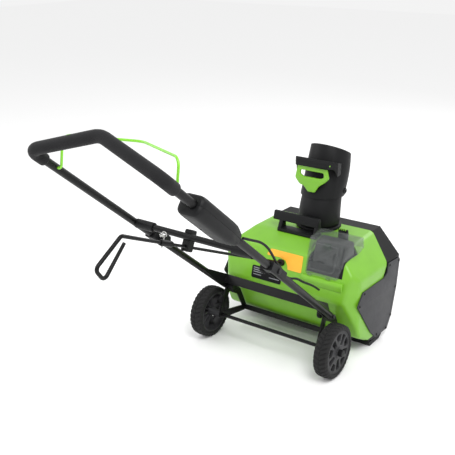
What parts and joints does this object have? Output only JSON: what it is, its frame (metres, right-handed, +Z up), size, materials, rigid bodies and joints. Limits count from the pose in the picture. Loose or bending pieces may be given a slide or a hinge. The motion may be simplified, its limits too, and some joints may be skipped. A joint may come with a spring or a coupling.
{
  "type": "snow blower",
  "caption": "Cordless walk-behind snow blower: rubber auger in a wide shell, turning chute with tilting hood, folding handle, crank rod and wheels.",
  "frame": {"origin": "on the ground under the middle of the scraper", "axes": "+Y forward towards the snow, +X to the operator's right, +Z up"},
  "size_m": [0.558, 1.1861, 0.9007],
  "materials": {
    "green_plastic": "satin moulded",
    "dark_plastic": "fine grained moulded",
    "grey_plastic": "fine grained moulded",
    "black_steel": "satin black powder coat",
    "bare_steel": "plated",
    "black_rubber": "matte",
    "tyre_rubber": "matte",
    "foam": "soft foam",
    "clear_lid": "smoked clear plastic",
    "orange_paper": "printed label",
    "green_paint": "gloss coat",
    "electronics": "potted"
  },
  "bodies": {
    "machine": {"main_housing": "green_plastic", "auger_shell": "dark_plastic", "right_side_cover": "grey_plastic", "left_side_cover": "grey_plastic", "cover_screws": "black_steel", "scraper_blade": "dark_plastic", "auger_bearings": "bare_steel", "drive_belt": "black_rubber", "motor_case": "bare_steel", "motor_mount": "black_steel", "controller": "electronics", "battery_bay": "dark_plastic", "battery": "grey_plastic", "carry_handle": "dark_plastic", "rod_boot": "black_rubber", "warning_label": "orange_paper", "rating_plate": "dark_plastic", "frame_plates": "black_steel", "lower_bar": "black_steel", "axle": "black_steel", "axle_caps": "dark_plastic", "chute_collar": "dark_plastic"},
    "left_wheel": {"left_tyre": "tyre_rubber", "left_hub": "dark_plastic"},
    "right_wheel": {"right_tyre": "tyre_rubber", "right_hub": "dark_plastic"},
    "auger": {"auger_paddles": "black_rubber", "auger_shaft": "bare_steel", "auger_pulley": "dark_plastic"},
    "rotor": {"motor_rotor": "bare_steel"},
    "lid": {"battery_door": "clear_lid"},
    "lid_catch": {"door_latch": "green_plastic"},
    "lower_handle": {"lower_legs": "black_steel", "cross_plate": "black_steel", "leg_cable": "black_rubber", "lower_bolts": "black_steel"},
    "upper_handle": {"upper_tube": "black_steel", "foam_grip": "foam", "crossbar": "black_steel", "crossbar_sleeves": "dark_plastic", "rod_guide": "dark_plastic", "fold_forks": "dark_plastic", "upper_bolts": "black_steel", "switch_box_top": "dark_plastic", "switch_box_bottom": "dark_plastic", "bail_switch": "electronics", "switch_cable": "black_rubber"},
    "bail": {"bail_lever": "green_paint"},
    "start_key": {"start_button": "green_plastic"},
    "lower_right_knob_body": {"lower_right_knob": "dark_plastic"},
    "lower_left_knob_body": {"lower_left_knob": "dark_plastic"},
    "upper_right_knob_body": {"upper_right_knob": "dark_plastic"},
    "upper_left_knob_body": {"upper_left_knob": "dark_plastic"},
    "chute": {"chute_neck": "dark_plastic"},
    "hood": {"chute_hood": "dark_plastic"},
    "trigger": {"hood_trigger": "green_plastic"},
    "chute_drive": {"chute_shaft": "dark_plastic"},
    "crank": {"crank_rod": "black_steel", "crank_handle": "black_steel", "crank_clip": "bare_steel"}
  },
  "joints": [
    {"name": "left_wheel_spin", "type": "hinge", "parent": "machine", "child": "left_wheel", "pos_m": [-0.241, -0.28, 0.089], "axis": [1, 0, 0], "continuous": true},
    {"name": "right_wheel_spin", "type": "hinge", "parent": "machine", "child": "right_wheel", "pos_m": [0.241, -0.28, 0.089], "axis": [1, 0, 0], "continuous": true},
    {"name": "auger_spin", "type": "hinge", "parent": "machine", "child": "auger", "pos_m": [0, 0.01, 0.142], "axis": [1, 0, 0], "continuous": true},
    {"name": "rotor_spin", "type": "hinge", "parent": "machine", "child": "rotor", "pos_m": [-0.176, -0.118, 0.256], "axis": [1, 0, 0], "continuous": true},
    {"name": "lid_swing", "type": "hinge", "parent": "machine", "child": "lid", "pos_m": [0.15, -0.189, 0.281], "axis": [1, 0, 0], "range_deg": [0, 85]},
    {"name": "catch_swing", "type": "hinge", "parent": "machine", "child": "lid_catch", "pos_m": [0.143, -0.055, 0.3696], "axis": [1, 0, 0], "range_deg": [-15, 0], "stiffness_Nm_per_rad": 0.6, "springref_deg": 14.32},
    {"name": "lower_fold", "type": "hinge", "parent": "machine", "child": "lower_handle", "pos_m": [0, -0.24, 0.184], "axis": [1, 0, 0], "range_deg": [-35, 0]},
    {"name": "upper_fold", "type": "hinge", "parent": "lower_handle", "child": "upper_handle", "pos_m": [0, -0.57991, 0.46024], "axis": [1, 0, 0], "range_deg": [-90, 0], "deforming": ["switch_cable", "leg_cable"]},
    {"name": "bail_swing", "type": "hinge", "parent": "upper_handle", "child": "bail", "pos_m": [0, -0.95862, 0.76801], "axis": [1, 0, 0], "range_deg": [0, 45], "stiffness_Nm_per_rad": 0.6, "springref_deg": -34.38},
    {"name": "start_press", "type": "slide", "parent": "upper_handle", "child": "start_key", "axis": [0, -0.6307, -0.776], "range_m": [0, 0.003], "stiffness_N_per_m": 400, "springref_m": -0.002},
    {"name": "lower_right_knob_turn", "type": "hinge", "parent": "lower_handle", "child": "lower_right_knob_body", "pos_m": [0.175, -0.24, 0.184], "axis": [1, 0, 0], "range_deg": [0, 360]},
    {"name": "lower_left_knob_turn", "type": "hinge", "parent": "lower_handle", "child": "lower_left_knob_body", "pos_m": [-0.175, -0.24, 0.184], "axis": [1, 0, 0], "range_deg": [0, 360]},
    {"name": "upper_right_knob_turn", "type": "hinge", "parent": "upper_handle", "child": "upper_right_knob_body", "pos_m": [0.178, -0.57991, 0.46024], "axis": [1, 0, 0], "range_deg": [0, 360]},
    {"name": "upper_left_knob_turn", "type": "hinge", "parent": "upper_handle", "child": "upper_left_knob_body", "pos_m": [-0.178, -0.57991, 0.46024], "axis": [1, 0, 0], "range_deg": [0, 360]},
    {"name": "chute_turn", "type": "hinge", "parent": "machine", "child": "chute", "pos_m": [0, 0.032, 0.36], "axis": [0, 0, 1], "range_deg": [-95, 95]},
    {"name": "hood_tilt", "type": "hinge", "parent": "chute", "child": "hood", "pos_m": [0, 0.068, 0.495], "axis": [1, 0, 0], "range_deg": [-34, 0]},
    {"name": "trigger_pull", "type": "hinge", "parent": "hood", "child": "trigger", "pos_m": [0, -0.026, 0.601], "axis": [1, 0, 0], "range_deg": [-12, 0], "stiffness_Nm_per_rad": 0.4, "springref_deg": 17.19},
    {"name": "chute_drive_turn", "type": "hinge", "parent": "machine", "child": "chute_drive", "pos_m": [-0.018, -0.053, 0.3], "axis": [0, 0, 1], "range_deg": [-570, 570]},
    {"name": "crank_turn", "type": "hinge", "parent": "machine", "child": "crank", "pos_m": [-0.018, -0.098, 0.2545], "axis": [0, -0.9167, 0.3995], "range_deg": [-570, 570]}
  ],
  "couplings": [
    {"joint": "rotor_spin", "follows": "auger_spin", "ratio": 3.625},
    {"joint": "chute_drive_turn", "follows": "chute_turn", "ratio": -6},
    {"joint": "crank_turn", "follows": "chute_turn", "ratio": 6}
  ]
}
